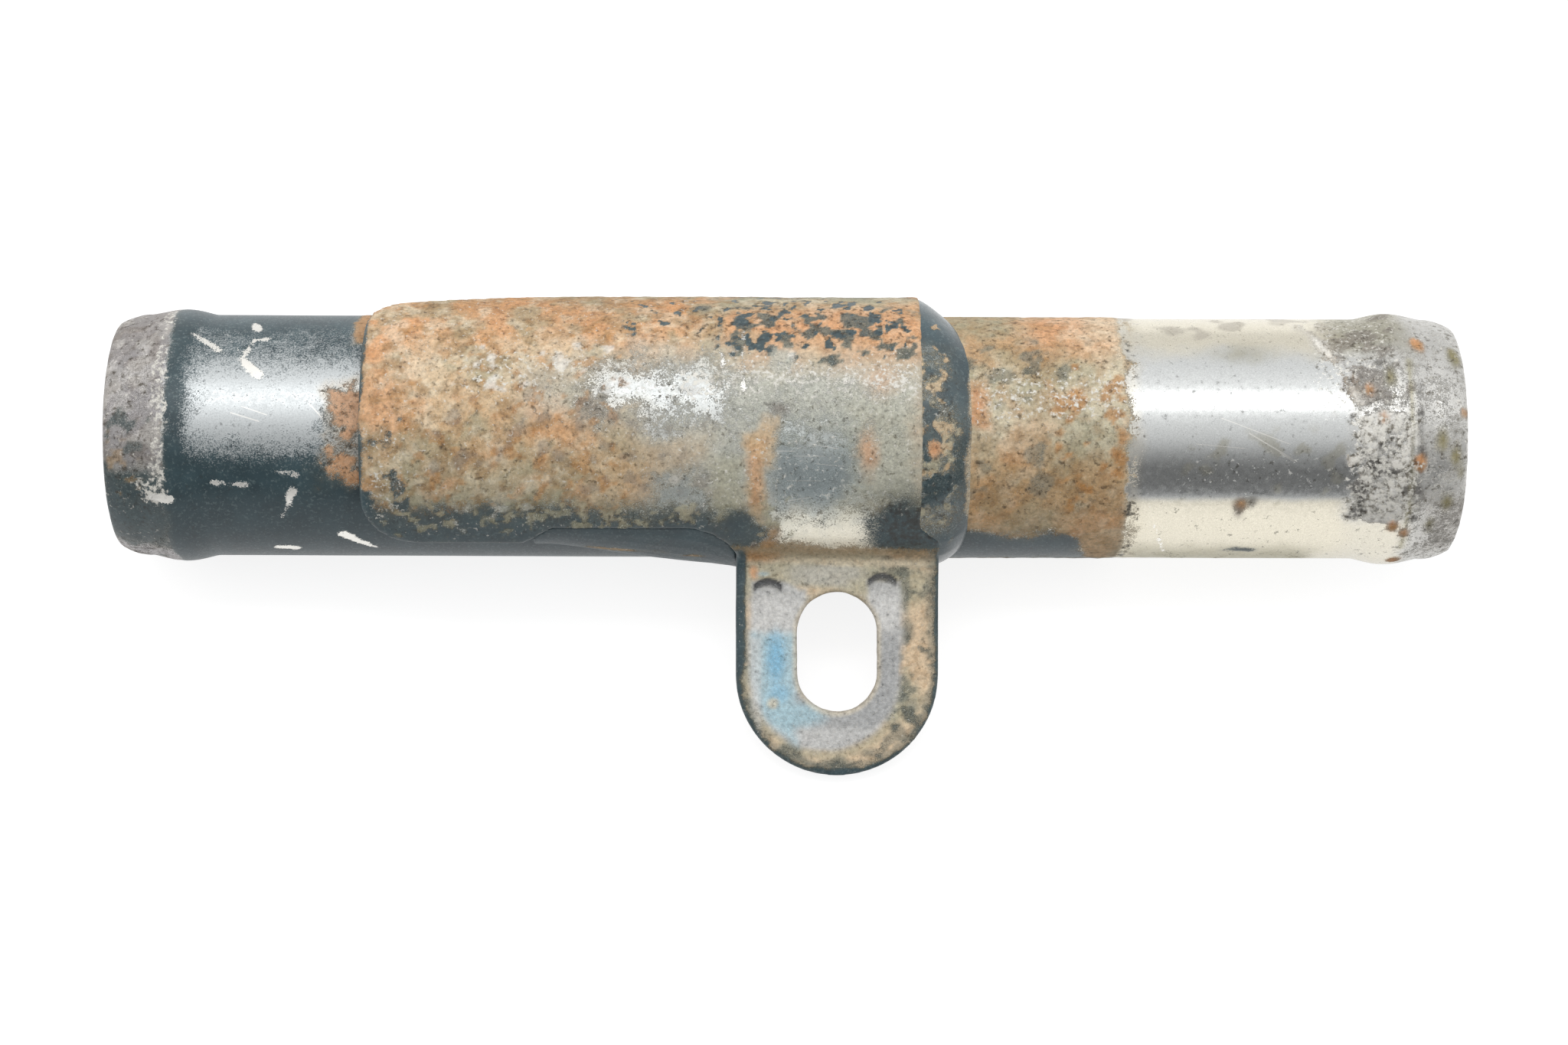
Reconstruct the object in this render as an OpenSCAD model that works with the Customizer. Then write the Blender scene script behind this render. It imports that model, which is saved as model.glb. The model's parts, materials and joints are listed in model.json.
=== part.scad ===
// Short steel coolant pipe: a tube with a rolled hose bead near each end, and a
// stamped bracket welded on, whose slotted tab bolts to a boss.
// The part lies on its two beads and on the tip of the tab. The origin is on the
// tube's axis at mid-length, +X runs along the tube and +Z is up.
//
// Directions round the tube are angles in degrees: 0 faces the way the tab's front
// does, 90 is the side away from the tab's tip, and -90 is the tab's side.

/* [Tube] */
// Length of the tube
tube_length = 140; // [110:1:220]
// Outside diameter of the tube
tube_od = 25.4; // [22:0.1:32]
// Wall thickness of the tube
tube_wall = 1.5; // [0.8:0.1:2.5]
// How far each bead stands above the tube
bead_height = 0.6; // [0.3:0.1:1.2]
// Width of each bead along the tube
bead_width = 6.8; // [5:0.1:9]
// Distance from a tube end to the crest of its bead
bead_setback = 6.7; // [6:0.1:14]
// Length over which each lip thins towards its end
lip_length = 2.8; // [1:0.1:3]
// How much thinner the lip is at its end
lip_taper = 0.9; // [0.3:0.05:1.0]

/* [Saddle] */
// Sheet thickness of the bracket
sheet = 2.0; // [1.2:0.1:3]
// Left edge of the saddle, from the middle of the tube
saddle_left = -43.4; // [-48:0.1:-36]
// Right edge of the saddle, from the middle of the tube
saddle_right = 14.0; // [12:0.1:15]
// Radius of the saddle's two left corners
corner_radius = 6.0; // [2:0.5:8]
// Angle of the saddle's upper edge at its left end
crown_left = 67; // [55:1:75]
// Angle of the saddle's upper edge at its right end
crown_right = 112; // [95:1:120]
// Angle of the saddle's lower edge on the left
skirt_left = -50.6; // [-54:0.2:-48]
// Angle of the saddle's lower edge on the right
skirt_right = -42; // [-46:0.2:-40]
// Where the lower edge starts to step up, from the middle of the tube
step_start = -27; // [-30:0.5:-24]
// Length of that step along the tube
step_length = 3; // [2:0.5:6]
// Radius between the saddle's lower edge and the tab
neck_radius = 5.5; // [4.5:0.1:7]

/* [Tab] */
// Middle of the tab, from the middle of the tube
tab_centre = 5.45; // [4:0.05:8]
// Width of the tab
tab_width = 21; // [18:0.5:24]
// Distance from the tube's axis to the tab's tip, along the tab
tab_reach = 35.3; // [32:0.1:45]
// Angle round the tube at which the sheet leaves it
bend_start = 58; // [54:0.5:64]
// Inside radius of the bend
bend_radius = 1.5; // [1:0.1:3]
// Width of the bolt slot
slot_width = 8.5; // [6.4:0.1:10.5]
// Length of the bolt slot, end to end
slot_length = 12.65; // [11:0.05:15]
// Distance from the slot's middle to the tab's tip
slot_setback = 12.8; // [11:0.1:15]

/* [Welds] */
// Length of the end weld along the tube, at its longest
end_weld_leg = 5.2; // [3:0.1:7]
// Where the lower weld starts, from the middle of the tube
lower_weld_start = -26; // [-30:0.5:-20]
// How far each weld stays below the face of the sheet
weld_drop = 0.35; // [0.2:0.05:0.8]

/* [Fits] */
// Gap between the bracket or a weld and what it is seated on
seat_gap = 0.05; // [0.02:0.01:0.1]

/* [Hidden] */
$fn = 96;

// Tube
tube_r = tube_od / 2;
bore_r = tube_r - tube_wall;
bead_r = tube_r + bead_height;
// A bead is an arc of a circle over its width, and its groove is the same arc less the wall
bead_arc_r = (pow(bead_width / 2, 2) + pow(bead_height, 2)) / (2 * bead_height);
bead_arc_centre = bead_r - bead_arc_r;
bead_x = tube_length / 2 - bead_setback;
end_edge = 0.5;
end_edge_drop = 0.4;

// Bracket sheet, wrapped on the tube
sheet_in = tube_r + seat_gap;
sheet_out = sheet_in + sheet;
tab_left = tab_centre - tab_width / 2;
tab_right = tab_centre + tab_width / 2;
tab_end_r = tab_width / 2;
// The bend's centre, seen along the tube, lies out from the axis at the bend's start
bend_centre = sheet_out + bend_radius;
bend_out = bend_radius + sheet;
tab_back = bend_centre * cos(bend_start) - bend_out;

// Outlines of the saddle are drawn square to the tube at these two angles
crown_view = 75;
skirt_view = -45;
crown_end = 120;
arc_step = 3;
far = 2.5 * tab_reach;
skirt_low = sheet_out * sin(skirt_left - skirt_view);
skirt_high = sheet_out * sin(skirt_right - skirt_view);
neck_end = sheet_out * sin(-bend_start - skirt_view);
step_end = step_start + step_length;
neck_drop = min(neck_radius, skirt_high - neck_end);
neck_centre = tab_left - sqrt(pow(neck_radius, 2) - pow(neck_radius - neck_drop, 2));
flare_top = 1;
flare_end = -1;

// Welds
weld_in = tube_r + seat_gap;
weld_out = sheet_out - weld_drop;
weld_steps = 7;
weld_bulge = 1.5;

// The part rests on both beads and on the back edge of the tab's tip
lean = asin(bead_r / norm([tab_reach, tab_back])) + atan2(tab_back, tab_reach);

// Point at an angle round the tube and a distance from its axis
function polar(angle, r, x = 0) = [x, -r * sin(lean - angle), r * cos(lean - angle)];

// Turns a shape so that its +Z faces an angle round the tube
module facing(angle) {
    rotate([lean - angle, 0, 0]) children();
}

// Closed solid through rings of points, every ring with the same number of them
module skin(rings) {
    count = len(rings[0]);
    last = len(rings) - 1;
    points = [for (ring = rings) for (p = ring) p];
    sides = [
        for (i = [0:last - 1]) for (j = [0:count - 1])
            let (k = (j + 1) % count)
            each [
                [i * count + j, i * count + k, (i + 1) * count + j],
                [i * count + k, (i + 1) * count + k, (i + 1) * count + j]
            ]
    ];
    caps = [
        [for (j = [count - 1:-1:0]) j],
        [for (j = [0:count - 1]) last * count + j]
    ];
    polyhedron(points = points, faces = concat(sides, caps));
}

// ---- Tube ----

// Half of the tube's outside, drawn as distance from the axis and place along it
module lip_outline() {
    half = tube_length / 2;
    polygon([
        [0, 0],
        [tube_r, 0],
        [tube_r, half - lip_length],
        [tube_r - lip_taper + end_edge_drop, half - end_edge],
        [tube_r - lip_taper, half],
        [0, half]
    ]);
}

// The part of a circle that makes a bead or, with a smaller circle, its groove
module bead_outline(arc_r, floor_r) {
    intersection() {
        translate([bead_arc_centre, bead_x]) circle(r = arc_r);
        translate([floor_r - tube_wall / 4, 0]) square([tube_wall, tube_length]);
    }
}

module tube_half() {
    rotate_extrude() lip_outline();
    rotate_extrude() bead_outline(bead_arc_r, tube_r);
}

module tube() {
    color("lightslategray")
        rotate([0, 90, 0])
            difference() {
                union() {
                    tube_half();
                    mirror([0, 0, 1]) tube_half();
                }
                cylinder(r = bore_r, h = 2 * tube_length, center = true);
                for (side = [0, 1])
                    mirror([0, 0, side])
                        rotate_extrude() bead_outline(bead_arc_r - tube_wall, bore_r);
            }
}

// ---- Bracket ----

// Points of an arc, where an angle of 0 is up the second axis and 90 along the first
function arc(centre, r, from, to) =
    let (steps = ceil(abs(to - from) / arc_step))
    [for (i = [0:steps])
        let (angle = from + (to - from) * i / steps)
        centre + r * [sin(angle), cos(angle)]];

// Upper outline of the saddle: a round corner and a straight edge that climbs to the right
module crown_outline() {
    left_height = sheet_out * sin(crown_left - crown_view);
    right_height = sheet_out * sin(crown_right - crown_view);
    slope = atan2(right_height - left_height, saddle_right - saddle_left);
    corner = [
        saddle_left + corner_radius,
        left_height + corner_radius * (tan(slope) - 1 / cos(slope))
    ];
    polygon(concat(
        [[saddle_left, -far]],
        arc(corner, corner_radius, -90, -slope),
        [[saddle_right, right_height], [tab_right, right_height], [tab_right, -far]]
    ));
}

// Lower outline of the saddle: a round corner, a step up, and the neck of the tab
module skirt_outline() {
    corner = [saddle_left + corner_radius, skirt_low + corner_radius];
    neck = [neck_centre, skirt_high - neck_radius];
    polygon(concat(
        [[saddle_left, far]],
        arc(corner, corner_radius, -90, -180),
        [[step_start, skirt_low], [step_end, skirt_high]],
        arc(neck, neck_radius, 0, acos(1 - neck_drop / neck_radius)),
        [[tab_left, -far], [tab_right, -far], [tab_right, flare_end]],
        [[saddle_right, flare_top], [saddle_right, far]]
    ));
}

module slot() {
    straight = slot_length - slot_width;
    square([slot_width, straight], center = true);
    for (end = [-1, 1])
        translate([0, end * straight / 2]) circle(d = slot_width);
}

// Outline of the tab from in front, left open above it, where the saddle is
module tab_outline() {
    end_height = tab_end_r - tab_reach;
    difference() {
        union() {
            translate([tab_left, end_height]) square([tab_width, far]);
            translate([saddle_left, -sheet_out]) square([tab_right - saddle_left, far]);
            translate([tab_centre, end_height]) circle(r = tab_end_r);
        }
        translate([tab_centre, slot_setback - tab_reach]) slot();
    }
}

// The bent sheet seen along the tube: round the saddle, back through the bend, down the tab
module sheet_section() {
    centre = bend_centre * [-sin(bend_start), cos(bend_start)];
    polygon(concat(
        arc([0, 0], sheet_out, crown_end, -bend_start),
        arc(centre, bend_radius, 180 - bend_start, 180),
        [[-tab_reach, tab_back + sheet], [-tab_reach, tab_back]],
        arc(centre, bend_out, 180, 180 - bend_start),
        arc([0, 0], sheet_in, -bend_start, crown_end)
    ));
}

// A prism through the whole bracket, square to the tube at an angle round it
module prism(angle) {
    facing(angle)
        linear_extrude(height = 2 * far, center = true)
            children();
}

module bracket() {
    color("darkslategray")
        intersection() {
            facing(0)
                translate([saddle_left, 0, 0])
                    rotate([90, 0, 90])
                        linear_extrude(height = tab_right - saddle_left)
                            sheet_section();
            prism(crown_view) crown_outline();
            prism(skirt_view) skirt_outline();
            prism(0) tab_outline();
        }
}

// ---- Welds ----

// Height of a weld's surface at a share of the way from its root to its toe
function weld_r(share, root_r) = weld_in + (root_r - weld_in) * (1 - pow(share, weld_bulge));

// The end weld is longest in front and shortens towards both of its ends
end_weld_top = 94;
end_weld_bottom = -88;
end_weld_middle = -3;
end_weld_spread = 100;
end_weld_sink = 0.8;
end_weld_stations = 46;

// The weld's root follows the saddle's right edge, its flare, and then the tab's edge
function end_root(angle, r) =
    let (
        height = r * sin(angle - skirt_view) - 4 * seat_gap,
        share = min(1, max(0, (flare_top - height) / (flare_top - flare_end)))
    )
    seat_gap + saddle_right + (tab_right - saddle_right) * share;

function end_toe(angle) =
    saddle_right
    + end_weld_leg * (1 - pow((angle - end_weld_middle) / end_weld_spread, 4));

// Below the bend the sheet leaves the tube, and the weld's root sinks to the tube
function end_root_r(angle) =
    let (share = max(0, (bend_start + angle) / (bend_start + end_weld_bottom)))
    weld_out - end_weld_sink * (weld_out - weld_in) * share;

module end_weld() {
    span = end_weld_top - end_weld_bottom;
    color("darkslategray")
        skin([
            for (i = [0:end_weld_stations])
                let (
                    angle = end_weld_bottom + span * i / end_weld_stations,
                    root_r = end_root_r(angle),
                    root = end_root(angle, root_r),
                    leg = max(end_toe(angle) - root, seat_gap)
                )
                concat(
                    [polar(angle, weld_in, end_root(angle, weld_in))],
                    [for (j = [0:weld_steps])
                        polar(angle, weld_r(j / weld_steps, root_r),
                              root + leg * j / weld_steps)]
                )
        ]);
}

// The lower weld grows from the step in the saddle's lower edge to the tab's side
lower_weld_end = tab_left - seat_gap;
lower_weld_toe_start = -62;
lower_weld_toe_end = -110;
lower_weld_growth = 1.6;
lower_weld_stations = 36;

// Lower edge of the saddle at a place along the tube, in the skirt's outline
function skirt_edge(x) =
    x < step_start ? skirt_low
    : x < step_end ? skirt_low + (skirt_high - skirt_low) * (x - step_start) / step_length
    : x < neck_centre ? skirt_high
    : skirt_high - neck_radius + sqrt(pow(neck_radius, 2) - pow(x - neck_centre, 2));

// Angle at which that edge, less the seat gap, stands at a distance from the axis
function skirt_angle(x, r) = skirt_view + asin((skirt_edge(x) - seat_gap) / r);

function lower_toe(share) =
    lower_weld_toe_start
    + (lower_weld_toe_end - lower_weld_toe_start) * pow(share, lower_weld_growth);

module lower_weld() {
    span = lower_weld_end - lower_weld_start;
    color("darkslategray")
        skin([
            for (i = [0:lower_weld_stations])
                let (
                    share = i / lower_weld_stations,
                    x = lower_weld_start + span * share,
                    root = skirt_angle(x, weld_out),
                    root_in = skirt_angle(x, weld_in),
                    toe = lower_toe(share)
                )
                concat(
                    [for (j = [0:weld_steps])
                        polar(root + (toe - root) * j / weld_steps,
                              weld_r(j / weld_steps, weld_out), x)],
                    [for (j = [weld_steps - 1:-1:0])
                        polar(root_in + (toe - root_in) * j / weld_steps, weld_in, x)]
                )
        ]);
}

tube();
bracket();
end_weld();
lower_weld();
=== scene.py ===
"""A short plated steel hose pipe with a welded slotted bracket, worn, stained and crusted."""

import json
import math

import bpy
import numpy as np
from mathutils import Matrix, Vector


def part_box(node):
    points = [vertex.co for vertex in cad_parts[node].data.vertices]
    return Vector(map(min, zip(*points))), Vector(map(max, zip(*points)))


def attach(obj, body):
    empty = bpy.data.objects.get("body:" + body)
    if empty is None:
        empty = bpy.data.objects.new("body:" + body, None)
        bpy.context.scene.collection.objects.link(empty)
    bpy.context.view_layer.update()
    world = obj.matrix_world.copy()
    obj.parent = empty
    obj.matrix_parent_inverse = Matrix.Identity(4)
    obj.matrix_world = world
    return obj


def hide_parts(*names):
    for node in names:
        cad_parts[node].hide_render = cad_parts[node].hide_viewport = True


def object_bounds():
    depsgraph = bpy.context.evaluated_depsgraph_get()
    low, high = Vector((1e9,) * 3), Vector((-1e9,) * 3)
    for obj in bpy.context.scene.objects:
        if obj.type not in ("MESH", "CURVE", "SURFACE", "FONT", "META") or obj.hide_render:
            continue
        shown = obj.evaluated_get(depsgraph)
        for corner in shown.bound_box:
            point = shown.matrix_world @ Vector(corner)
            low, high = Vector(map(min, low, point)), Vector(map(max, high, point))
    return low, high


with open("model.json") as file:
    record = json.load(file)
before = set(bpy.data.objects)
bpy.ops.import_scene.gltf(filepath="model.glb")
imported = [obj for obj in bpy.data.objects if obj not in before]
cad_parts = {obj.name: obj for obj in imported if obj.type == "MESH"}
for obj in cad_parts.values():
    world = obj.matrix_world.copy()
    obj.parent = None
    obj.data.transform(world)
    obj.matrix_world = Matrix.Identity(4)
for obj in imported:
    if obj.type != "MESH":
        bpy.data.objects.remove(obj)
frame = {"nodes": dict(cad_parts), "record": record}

cad_low, cad_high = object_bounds()
MM = 0.001

# ---- Directions and sizes, from the frame, in millimetres ----

mounts = {mount["name"]: mount for mount in frame["record"]["mounts"]}
ALONG = np.array([1.0, 0.0, 0.0])
# Out of the tab's front, and up the tab's front: angles round the tube start at FRONT and rise to UP
FRONT = np.array(mounts["tab_front"]["axis"])
UP = np.array([0.0, FRONT[2], -FRONT[1]])

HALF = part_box("tube")[1].x / MM
BEAD_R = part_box("tube")[1].z / MM
BORE_R = mounts["bore"]["dims"]["r_mm"]
BEAD_HEIGHT = 0.6
BEAD_HALF_WIDTH = 3.5
BEAD_X = abs(mounts["hose_end_right"]["pos_m"][0]) / MM
TUBE_R = BEAD_R - BEAD_HEIGHT
LIP_LENGTH = 3.0
LIP_TAPER = 0.9
LIP_EDGE = 0.3

TAB_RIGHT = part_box("bracket")[1].x / MM
SADDLE_RIGHT = 14.0
# The saddle's outer radius, and how far out the middle of the tab's sheet is
SHEET_OUT = TUBE_R + 2.05
SHEET_MIDDLE_U = 6.1
TAB_CENTRE = mounts["tab_slot"]["pos_m"][0] / MM
TAB_HALF_WIDTH = TAB_RIGHT - TAB_CENTRE
TAB_TIP_V = -35.3
SLOT_CENTRE_V = -22.5
SLOT_R = 4.25
SLOT_HALF_STRAIGHT = 2.08


def colour(text):
    """The linear red, green and blue of a colour written as six hex digits."""
    parts = np.array([int(text[i:i + 2], 16) for i in (0, 2, 4)]) / 255
    return np.where(parts < 0.04045, parts / 12.92, ((parts + 0.055) / 1.055) ** 2.4)


# ---- Noise that every piece shares, so that marks run on from one to the next ----

def cell_value(cell, seed):
    """A fixed value from 0 to 1 for each whole-number cell."""
    mixed = cell[:, 0] * 73856093 ^ cell[:, 1] * 19349663 ^ cell[:, 2] * 83492791
    mixed = mixed ^ (seed * 7919 + 13) * 50331653
    mixed = (mixed ^ mixed >> 13) * 1274126177 & 0x7FFFFFFF
    return ((mixed ^ mixed >> 16) & 0xFFFF) / 0xFFFF


# Turns the noise's cells away from the tube's own directions, so that no marks line up with it
CELL_TURN = np.array([[0.36, 0.48, -0.80], [-0.80, 0.60, 0.00], [0.48, 0.64, 0.60]])


def lumps(place, size, seed):
    """Smooth noise from 0 to 1, with lumps about size millimetres across."""
    scaled = place @ CELL_TURN / size + 31.7 * (seed + 1)
    cell = np.floor(scaled).astype(np.int64)
    share = scaled - cell
    share = share * share * (3 - 2 * share)
    total = np.zeros(len(place))
    for corner in range(8):
        step = np.array([corner & 1, corner >> 1 & 1, corner >> 2])
        total += np.where(step, share, 1 - share).prod(axis=1) * cell_value(cell + step, seed)
    return total


def cloud(place, size, seed, octaves=4):
    """Lumps with smaller ones on them, from about 0.2 to 0.8."""
    fall = 0.55
    total = sum(fall ** i * lumps(place, size / 2 ** i, seed + 17 * i) for i in range(octaves))
    return total / sum(fall ** i for i in range(octaves))


def ramp(value, start, end):
    """0 before start, 1 after end, and a smooth rise between them."""
    share = np.clip((value - start) / (end - start), 0, 1)
    return share * share * (3 - 2 * share)


# ---- Finishes ----

# A finish is bare plate, then paint over a share of it, then crust over a share of that
FINISHES = {
    # name: plate, its roughness, share painted, share crusted, crust
    "paint": ("c9cccb", 0.40, 1.00, 0.02, "b9a184"),
    "worn": ("b9bebf", 0.42, 0.58, 0.03, "c3bba8"),
    "bare": ("c4c8c9", 0.38, 0.16, 0.04, "c9c4b6"),
    "satin": ("cfd0ca", 0.46, 0.16, 0.64, "c5c6ba"),
    "specked": ("a9aca6", 0.45, 0.60, 0.44, "bdb59c"),
    "clean": ("cfd1d0", 0.21, 0.00, 0.01, "c9b08a"),
    "film": ("e2dccb", 0.26, 0.00, 0.08, "e8dec8"),
    "grime": ("a5a089", 0.40, 0.00, 0.30, "a39c84"),
    "bloom": ("cbcac6", 0.34, 0.00, 0.36, "cfccc4"),
    "white": ("dcd9d2", 0.50, 0.00, 0.92, "eeece6"),
    "soot": ("807e7b", 0.55, 0.10, 0.50, "5c5955"),
    "oxide": ("aba8a8", 0.48, 0.12, 0.45, "bfbab9"),
    "umber": ("8f8882", 0.55, 0.10, 0.60, "8a8179"),
    "orange": ("c9b79c", 0.50, 0.30, 0.93, "dfa678"),
    "ochre": ("b49a74", 0.50, 0.30, 0.93, "bb8c5c"),
    "tan": ("cdbfa5", 0.50, 0.25, 0.92, "d6b68d"),
    "cream": ("d8cfba", 0.45, 0.12, 0.88, "e6d8bc"),
    "olive": ("b9b8a4", 0.46, 0.30, 0.80, "bab69c"),
    "cool": ("b4bebf", 0.36, 0.34, 0.22, "aab3ae"),
    "brown": ("a89a80", 0.50, 0.40, 0.88, "a5875c"),
    "rust": ("a87f58", 0.55, 0.30, 0.90, "bb8344"),
    "dark": ("8a8c86", 0.50, 1.00, 0.08, "5c6154"),
    "dusty": ("8a8f8a", 0.50, 0.70, 0.50, "7b7f74"),
    "moss": ("8a835c", 0.50, 0.00, 0.80, "857b45"),
    "chip": ("e4e1d8", 0.45, 0.00, 0.85, "e9e5dd"),
    "ash": ("d6ccb6", 0.50, 0.05, 0.94, "d4cab2"),
    "sand": ("d9c9ad", 0.50, 0.25, 0.93, "e2c9a8"),
    "steel": ("cbcbca", 0.42, 0.00, 0.90, "cbcbc9"),
    "pale": ("dededc", 0.42, 0.00, 0.94, "e0dfdc"),
    "slate": ("b1b2b3", 0.40, 0.00, 0.88, "b0b1b1"),
    "blue": ("b4d3dd", 0.50, 0.00, 0.85, "b4d2dc"),
    "sky": ("8fc6e4", 0.50, 0.00, 0.95, "8ec5e2"),
    # dent_and_shade is painted shade: the dark wall at the top of each washer's crescent
    "dent_and_shade": ("6c6e70", 0.45, 0.00, 0.50, "5f6062"),
}


class Coat:
    """The layers on a piece's surface, with one value for each of its points. It starts as paint."""

    def __init__(self, place):
        self.place = place
        self.x, self.u, self.v = place.T
        self.angle = np.degrees(np.arctan2(self.v, self.u))
        drift_sizes = (4, 4, 2.5, 2.5, 1.2, 1.2)
        self.drift = [cloud(place, size, seed) * 2 - 1 for seed, size in enumerate(drift_sizes)]
        # Plate: colour and roughness. Crust: colour and share. Layers: the shares of paint, stain and
        # chips. Specks: the shares of pale and dark ones.
        self.plate, self.crust, self.layers, self.specks = np.zeros((4, len(place), 4))
        self.laid = 0
        self.lay("paint", np.ones(len(place)))

    def lay(self, finish, share):
        """Covers a share of each point with a finish."""
        plate, rough, painted, crusted, crust = FINISHES[finish]
        share = np.clip(share, 0, 1)[:, None]
        self.plate += (np.append(colour(plate), rough) - self.plate) * share
        self.crust += (np.append(colour(crust), crusted) - self.crust) * share
        self.layers[:, :1] += (painted - self.layers[:, :1]) * share

    def _inside(self, left, right, low, high):
        """How far each point is inside a stretch of the tube, in millimetres."""
        turn = np.abs((self.angle - (low + high) / 2 + 180) % 360 - 180)
        round_in = np.radians((high - low) / 2 - turn) * TUBE_R
        return np.minimum(np.minimum(self.x - left, right - self.x), round_in)

    def _edge(self, inside, soft, ragged):
        """1 inside a patch and 0 outside, where inside is how far in a point is, in millimetres."""
        self.laid += 1
        coarse = self.drift[self.laid % 4]
        fine = self.drift[4 + self.laid % 2]
        return ramp(inside + ragged * (coarse + 0.5 * fine), -soft, soft)

    def band(self, finish, left, right, low=-200, high=200, cover=1.0, soft=2.4, ragged=1.6):
        """Lays a cover of a finish between two places along the tube and two angles round it."""
        self.lay(finish, cover * self._edge(self._inside(left, right, low, high), soft, ragged))

    def spot(self, finish, x, angle, width, height, cover=1.0, soft=0.5, ragged=0.6):
        """Lays an oval of a finish, with its size in millimetres."""
        around = np.radians((self.angle - angle + 180) % 360 - 180) * TUBE_R
        far = np.sqrt((2 * (self.x - x) / width) ** 2 + (2 * around / height) ** 2)
        self.lay(finish, cover * self._edge((1 - far) * min(width, height) / 2, soft, ragged))

    def _from_line(self, start, end):
        """How far each point is from a line between two places, each given as x and an angle."""
        start_arc = math.radians(start[1]) * TUBE_R
        x, arc = self.x - start[0], np.radians(self.angle) * TUBE_R - start_arc
        end_x, end_arc = end[0] - start[0], math.radians(end[1]) * TUBE_R - start_arc
        share = np.clip((x * end_x + arc * end_arc) / (end_x ** 2 + end_arc ** 2), 0, 1)
        return np.hypot(x - share * end_x, arc - share * end_arc)

    def streak(self, finish, start, end, width, cover=1.0, soft=0.25, ragged=0.3):
        """Lays a finish along a line between two places."""
        inside = width / 2 - self._from_line(start, end)
        self.lay(finish, cover * self._edge(inside, soft, ragged))

    def chip(self, x0, angle0, x1, angle1, width):
        """Knocks a chip through to pale metal along a line between two places on the tube."""
        inside = width / 2 - self._from_line((x0, angle0), (x1, angle1))
        inside += 0.5 * (self.drift[4] + 0.5 * self.drift[2])
        self.layers[:, 2] = np.maximum(self.layers[:, 2], np.clip(0.5 + inside / 2, 0, 1))

    def flecks(self, finish, left, right, low, high, size, amount, seed, cover=0.9, soft=2.5):
        """Scatters torn flecks of a finish, of a size in millimetres, over about an amount of a region."""
        inside = self._inside(left, right, low, high)
        edge = 0.70 - 0.20 * amount * ramp(inside, -soft, soft)
        where = ramp(cloud(self.place, size, seed, 2), edge, edge + 0.08)
        self.lay(finish, cover * where * ramp(inside, -soft, 0))

    def speckle(self, left, right, low, high, pale=0.0, dark=0.0, soft=2.5, where=1.0):
        """Peppers a region with pale and dark specks that are too fine for the mesh."""
        share = where * self._edge(self._inside(left, right, low, high), soft, 1.2)
        self.specks[:, 0] = np.maximum(self.specks[:, 0], pale * share)
        self.specks[:, 1] = np.maximum(self.specks[:, 1], dark * share)

    def stain(self, share):
        """Darkens a share of each point with old oil and soot."""
        self.layers[:, 1] = np.maximum(self.layers[:, 1], np.clip(share, 0, 1))

    def mottle(self, amount=1.0):
        """Varies the crust's colour from place to place."""
        for text, size, seed, share in (
            ("dfa26c", 4.6, 61, 0.50), ("a3a186", 3.6, 63, 0.60),
            ("ece0c6", 1.5, 65, 0.40), ("94703f", 1.2, 67, 0.55),
        ):
            where = amount * share * ramp(cloud(self.place, size, seed), 0.50, 0.66)
            self.crust[:, :3] += (colour(text) - self.crust[:, :3]) * where[:, None]

    def break_up(self):
        """Gathers the paint and the crust into clumps, so that a half cover isn't an even one."""
        for column, layer, size, seed, much in (
            (3, self.crust, 2.0, 41, 1.6), (3, self.crust, 0.9, 43, 1.8), (0, self.layers, 1.2, 57, 1.2),
        ):
            clumps = cloud(self.place, size, seed) - 0.5
            share = layer[:, column]
            layer[:, column] = np.clip(share + much * clumps * share * (1 - share), 0, 1)

    def height(self):
        """How far the coats stand proud of the bare plate, in millimetres."""
        crust, paint = self.crust[:, 3], self.layers[:, 0]
        rough_part = 0.03 + 0.16 * cloud(self.place, 1.1, 71) + 0.10 * (cloud(self.place, 4, 73) - 0.5)
        return rough_part * ramp(crust, 0.25, 0.8) + 0.05 * ramp(paint, 0.3, 0.8) - 0.03


# ---- Where each finish is ----

# Places are x in millimetres along the tube, and degrees round it, up from the tab's front. Bands, flecks
# and speckles run from x to x and from angle to angle. After a band's or a spot's place comes how much it
# covers, after flecks' their size, amount, seed and cover, and after a speckle's its pale and dark shares.

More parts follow.
